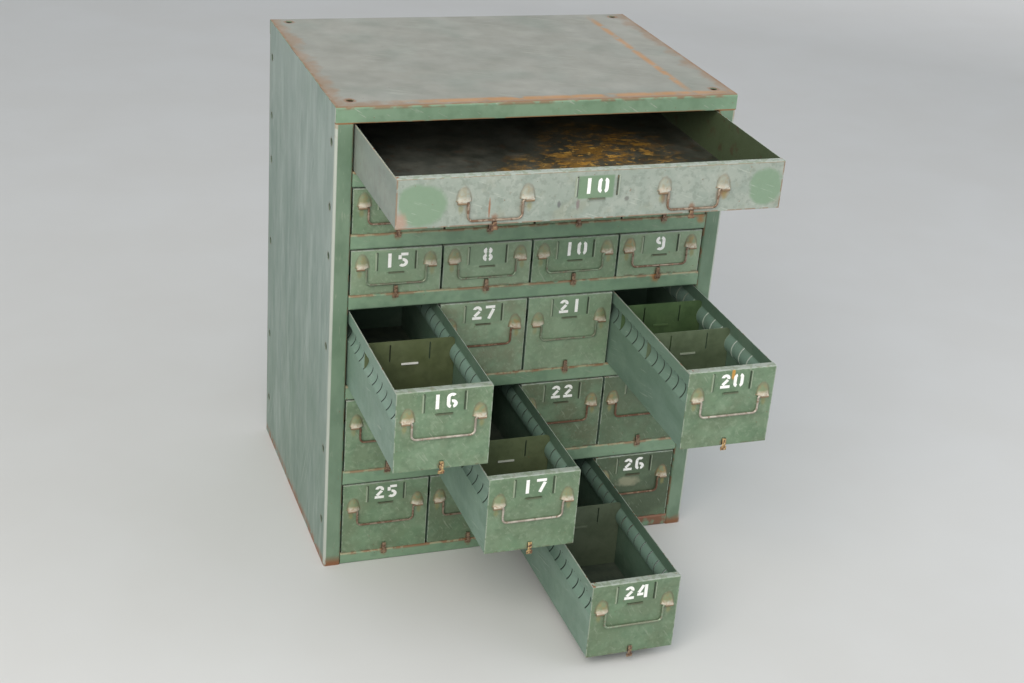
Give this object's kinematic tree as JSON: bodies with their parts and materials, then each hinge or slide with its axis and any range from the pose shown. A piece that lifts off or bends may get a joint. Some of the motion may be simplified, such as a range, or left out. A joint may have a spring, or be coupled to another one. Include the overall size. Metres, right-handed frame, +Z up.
{
  "type": "metal drawer cabinet",
  "caption": "Folded sheet-steel cabinet with a wide tray over rows of narrow slotted drawers, each with a wire bail, a spring catch and lift-out dividers",
  "frame": {"origin": "on the floor, at the centre of the casing's footprint, with the pulled-out drawers left aside", "axes": "X runs to the right seen from the front, Y to the back, Z up; the drawers pull out along -Y"},
  "size_m": [0.61, 0.7999, 0.7465],
  "materials": {
    "casing_enamel": "worn semi-gloss green enamel, scratched",
    "top_enamel": "worn grey-green enamel with rust along the edges",
    "back_enamel": "plain green enamel",
    "guide_steel": "plain green enamel, scuffed",
    "tray_enamel": "worn green enamel with a rusty edge",
    "drawer_enamel": "worn semi-gloss green enamel",
    "divider_enamel": "olive enamel, satin",
    "bail_wire": "worn bright wire with brown rust"
  },
  "bodies": {
    "casing": {"left_side": "casing_enamel", "right_side": "casing_enamel", "top_panel": "top_enamel", "back_panel": "back_enamel", "base_pan": "casing_enamel", "drawer_guides": "guide_steel", "shelf_1": "casing_enamel", "shelf_2": "casing_enamel", "shelf_3": "casing_enamel", "shelf_4": "casing_enamel", "shelf_5": "casing_enamel"},
    "tray": {"tray": "tray_enamel"},
    "bail_tray_left": {"bail_tray_left": "bail_wire"},
    "bail_tray_right": {"bail_tray_right": "bail_wire"},
    "drawer_2_1": {"drawer_2_1": "drawer_enamel"},
    "bail_2_1": {"bail_2_1": "bail_wire"},
    "drawer_2_2": {"drawer_2_2": "drawer_enamel"},
    "bail_2_2": {"bail_2_2": "bail_wire"},
    "drawer_2_3": {"drawer_2_3": "drawer_enamel"},
    "bail_2_3": {"bail_2_3": "bail_wire"},
    "drawer_2_4": {"drawer_2_4": "drawer_enamel"},
    "bail_2_4": {"bail_2_4": "bail_wire"},
    "drawer_3_1": {"drawer_3_1": "drawer_enamel"},
    "bail_3_1": {"bail_3_1": "bail_wire"},
    "drawer_3_2": {"drawer_3_2": "drawer_enamel"},
    "bail_3_2": {"bail_3_2": "bail_wire"},
    "drawer_3_3": {"drawer_3_3": "drawer_enamel"},
    "bail_3_3": {"bail_3_3": "bail_wire"},
    "drawer_3_4": {"drawer_3_4": "drawer_enamel"},
    "bail_3_4": {"bail_3_4": "bail_wire"},
    "drawer_4_1": {"drawer_4_1": "drawer_enamel"},
    "bail_4_1": {"bail_4_1": "bail_wire"},
    "drawer_4_2": {"drawer_4_2": "drawer_enamel"},
    "bail_4_2": {"bail_4_2": "bail_wire"},
    "drawer_4_3": {"drawer_4_3": "drawer_enamel"},
    "bail_4_3": {"bail_4_3": "bail_wire"},
    "drawer_4_4": {"drawer_4_4": "drawer_enamel"},
    "bail_4_4": {"bail_4_4": "bail_wire"},
    "drawer_5_1": {"drawer_5_1": "drawer_enamel"},
    "bail_5_1": {"bail_5_1": "bail_wire"},
    "drawer_5_2": {"drawer_5_2": "drawer_enamel"},
    "bail_5_2": {"bail_5_2": "bail_wire"},
    "drawer_5_3": {"drawer_5_3": "drawer_enamel"},
    "bail_5_3": {"bail_5_3": "bail_wire"},
    "drawer_5_4": {"drawer_5_4": "drawer_enamel"},
    "bail_5_4": {"bail_5_4": "bail_wire"},
    "drawer_6_1": {"drawer_6_1": "drawer_enamel"},
    "bail_6_1": {"bail_6_1": "bail_wire"},
    "drawer_6_2": {"drawer_6_2": "drawer_enamel"},
    "bail_6_2": {"bail_6_2": "bail_wire"},
    "drawer_6_3": {"drawer_6_3": "drawer_enamel"},
    "bail_6_3": {"bail_6_3": "bail_wire"},
    "drawer_6_4": {"drawer_6_4": "drawer_enamel"},
    "bail_6_4": {"bail_6_4": "bail_wire"},
    "divider_4_1": {"divider_4_1": "divider_enamel"},
    "divider_5_2": {"divider_5_2": "divider_enamel"},
    "divider_6_3": {"divider_6_3": "divider_enamel"},
    "divider_4_4_front": {"divider_4_4_front": "divider_enamel"},
    "divider_4_4_rear": {"divider_4_4_rear": "divider_enamel"}
  },
  "joints": [
    {"name": "tray_slide", "type": "slide", "parent": "casing", "child": "tray", "axis": [0, -1, 0], "range_m": [-0.217, 0.163]},
    {"name": "bail_tray_left_swing", "type": "hinge", "parent": "tray", "child": "bail_tray_left", "pos_m": [-0.142, -0.44465, 0.685], "axis": [-1, 0, 0], "range_deg": [0, 90]},
    {"name": "bail_tray_right_swing", "type": "hinge", "parent": "tray", "child": "bail_tray_right", "pos_m": [0.142, -0.44465, 0.685], "axis": [-1, 0, 0], "range_deg": [0, 90]},
    {"name": "drawer_2_1_slide", "type": "slide", "parent": "casing", "child": "drawer_2_1", "axis": [0, -1, 0], "range_m": [0, 0.38]},
    {"name": "bail_2_1_swing", "type": "hinge", "parent": "drawer_2_1", "child": "bail_2_1", "pos_m": [-0.20876, -0.22765, 0.5981], "axis": [-1, 0, 0], "range_deg": [0, 90]},
    {"name": "drawer_2_2_slide", "type": "slide", "parent": "casing", "child": "drawer_2_2", "axis": [0, -1, 0], "range_m": [0, 0.38]},
    {"name": "bail_2_2_swing", "type": "hinge", "parent": "drawer_2_2", "child": "bail_2_2", "pos_m": [-0.06959, -0.22765, 0.5981], "axis": [-1, 0, 0], "range_deg": [0, 90]},
    {"name": "drawer_2_3_slide", "type": "slide", "parent": "casing", "child": "drawer_2_3", "axis": [0, -1, 0], "range_m": [0, 0.38]},
    {"name": "bail_2_3_swing", "type": "hinge", "parent": "drawer_2_3", "child": "bail_2_3", "pos_m": [0.06959, -0.22765, 0.5981], "axis": [-1, 0, 0], "range_deg": [0, 90]},
    {"name": "drawer_2_4_slide", "type": "slide", "parent": "casing", "child": "drawer_2_4", "axis": [0, -1, 0], "range_m": [0, 0.38]},
    {"name": "bail_2_4_swing", "type": "hinge", "parent": "drawer_2_4", "child": "bail_2_4", "pos_m": [0.20876, -0.22765, 0.5981], "axis": [-1, 0, 0], "range_deg": [0, 90]},
    {"name": "drawer_3_1_slide", "type": "slide", "parent": "casing", "child": "drawer_3_1", "axis": [0, -1, 0], "range_m": [0, 0.38]},
    {"name": "bail_3_1_swing", "type": "hinge", "parent": "drawer_3_1", "child": "bail_3_1", "pos_m": [-0.20876, -0.22765, 0.5032], "axis": [-1, 0, 0], "range_deg": [0, 90]},
    {"name": "drawer_3_2_slide", "type": "slide", "parent": "casing", "child": "drawer_3_2", "axis": [0, -1, 0], "range_m": [0, 0.38]},
    {"name": "bail_3_2_swing", "type": "hinge", "parent": "drawer_3_2", "child": "bail_3_2", "pos_m": [-0.06959, -0.22765, 0.5032], "axis": [-1, 0, 0], "range_deg": [0, 90]},
    {"name": "drawer_3_3_slide", "type": "slide", "parent": "casing", "child": "drawer_3_3", "axis": [0, -1, 0], "range_m": [0, 0.38]},
    {"name": "bail_3_3_swing", "type": "hinge", "parent": "drawer_3_3", "child": "bail_3_3", "pos_m": [0.06959, -0.22765, 0.5032], "axis": [-1, 0, 0], "range_deg": [0, 90]},
    {"name": "drawer_3_4_slide", "type": "slide", "parent": "casing", "child": "drawer_3_4", "axis": [0, -1, 0], "range_m": [0, 0.38]},
    {"name": "bail_3_4_swing", "type": "hinge", "parent": "drawer_3_4", "child": "bail_3_4", "pos_m": [0.20876, -0.22765, 0.5032], "axis": [-1, 0, 0], "range_deg": [0, 90]},
    {"name": "drawer_4_1_slide", "type": "slide", "parent": "casing", "child": "drawer_4_1", "axis": [0, 1, 0], "range_m": [-0.12, 0.26]},
    {"name": "bail_4_1_swing", "type": "hinge", "parent": "drawer_4_1", "child": "bail_4_1", "pos_m": [-0.20876, -0.48765, 0.3903], "axis": [-1, 0, 0], "range_deg": [0, 90]},
    {"name": "drawer_4_2_slide", "type": "slide", "parent": "casing", "child": "drawer_4_2", "axis": [0, -1, 0], "range_m": [0, 0.38]},
    {"name": "bail_4_2_swing", "type": "hinge", "parent": "drawer_4_2", "child": "bail_4_2", "pos_m": [-0.06959, -0.22765, 0.3903], "axis": [-1, 0, 0], "range_deg": [0, 90]},
    {"name": "drawer_4_3_slide", "type": "slide", "parent": "casing", "child": "drawer_4_3", "axis": [0, -1, 0], "range_m": [0, 0.38]},
    {"name": "bail_4_3_swing", "type": "hinge", "parent": "drawer_4_3", "child": "bail_4_3", "pos_m": [0.06959, -0.22765, 0.3903], "axis": [-1, 0, 0], "range_deg": [0, 90]},
    {"name": "drawer_4_4_slide", "type": "slide", "parent": "casing", "child": "drawer_4_4", "axis": [0, 1, 0], "range_m": [-0.101, 0.279]},
    {"name": "bail_4_4_swing", "type": "hinge", "parent": "drawer_4_4", "child": "bail_4_4", "pos_m": [0.20876, -0.50665, 0.3903], "axis": [-1, 0, 0], "range_deg": [0, 90]},
    {"name": "drawer_5_1_slide", "type": "slide", "parent": "casing", "child": "drawer_5_1", "axis": [0, -1, 0], "range_m": [0, 0.38]},
    {"name": "bail_5_1_swing", "type": "hinge", "parent": "drawer_5_1", "child": "bail_5_1", "pos_m": [-0.20876, -0.22765, 0.2429], "axis": [-1, 0, 0], "range_deg": [0, 90]},
    {"name": "drawer_5_2_slide", "type": "slide", "parent": "casing", "child": "drawer_5_2", "axis": [0, 1, 0], "range_m": [-0.117, 0.263]},
    {"name": "bail_5_2_swing", "type": "hinge", "parent": "drawer_5_2", "child": "bail_5_2", "pos_m": [-0.06959, -0.49065, 0.2429], "axis": [-1, 0, 0], "range_deg": [0, 90]},
    {"name": "drawer_5_3_slide", "type": "slide", "parent": "casing", "child": "drawer_5_3", "axis": [0, -1, 0], "range_m": [0, 0.38]},
    {"name": "bail_5_3_swing", "type": "hinge", "parent": "drawer_5_3", "child": "bail_5_3", "pos_m": [0.06959, -0.22765, 0.2429], "axis": [-1, 0, 0], "range_deg": [0, 90]},
    {"name": "drawer_5_4_slide", "type": "slide", "parent": "casing", "child": "drawer_5_4", "axis": [0, -1, 0], "range_m": [0, 0.38]},
    {"name": "bail_5_4_swing", "type": "hinge", "parent": "drawer_5_4", "child": "bail_5_4", "pos_m": [0.20876, -0.22765, 0.2429], "axis": [-1, 0, 0], "range_deg": [0, 90]},
    {"name": "drawer_6_1_slide", "type": "slide", "parent": "casing", "child": "drawer_6_1", "axis": [0, -1, 0], "range_m": [0, 0.38]},
    {"name": "bail_6_1_swing", "type": "hinge", "parent": "drawer_6_1", "child": "bail_6_1", "pos_m": [-0.20876, -0.22765, 0.0955], "axis": [-1, 0, 0], "range_deg": [0, 90]},
    {"name": "drawer_6_2_slide", "type": "slide", "parent": "casing", "child": "drawer_6_2", "axis": [0, -1, 0], "range_m": [0, 0.38]},
    {"name": "bail_6_2_swing", "type": "hinge", "parent": "drawer_6_2", "child": "bail_6_2", "pos_m": [-0.06959, -0.22765, 0.0955], "axis": [-1, 0, 0], "range_deg": [0, 90]},
    {"name": "drawer_6_3_slide", "type": "slide", "parent": "casing", "child": "drawer_6_3", "axis": [0, 1, 0], "range_m": [-0.039, 0.341]},
    {"name": "bail_6_3_swing", "type": "hinge", "parent": "drawer_6_3", "child": "bail_6_3", "pos_m": [0.06959, -0.56865, 0.0955], "axis": [-1, 0, 0], "range_deg": [0, 90]},
    {"name": "drawer_6_4_slide", "type": "slide", "parent": "casing", "child": "drawer_6_4", "axis": [0, -1, 0], "range_m": [0, 0.38]},
    {"name": "bail_6_4_swing", "type": "hinge", "parent": "drawer_6_4", "child": "bail_6_4", "pos_m": [0.20876, -0.22765, 0.0955], "axis": [-1, 0, 0], "range_deg": [0, 90]},
    {"name": "divider_4_1_lift", "type": "slide", "parent": "drawer_4_1", "child": "divider_4_1", "axis": [0, 0, -1], "range_m": [-0.125, 0]},
    {"name": "divider_5_2_lift", "type": "slide", "parent": "drawer_5_2", "child": "divider_5_2", "axis": [0, 0, -1], "range_m": [-0.125, 0]},
    {"name": "divider_6_3_lift", "type": "slide", "parent": "drawer_6_3", "child": "divider_6_3", "axis": [0, 0, -1], "range_m": [-0.125, 0]},
    {"name": "divider_4_4_front_lift", "type": "slide", "parent": "drawer_4_4", "child": "divider_4_4_front", "axis": [0, 0, -1], "range_m": [-0.125, 0]},
    {"name": "divider_4_4_rear_lift", "type": "slide", "parent": "drawer_4_4", "child": "divider_4_4_rear", "axis": [0, 0, -1], "range_m": [-0.125, 0]}
  ]
}
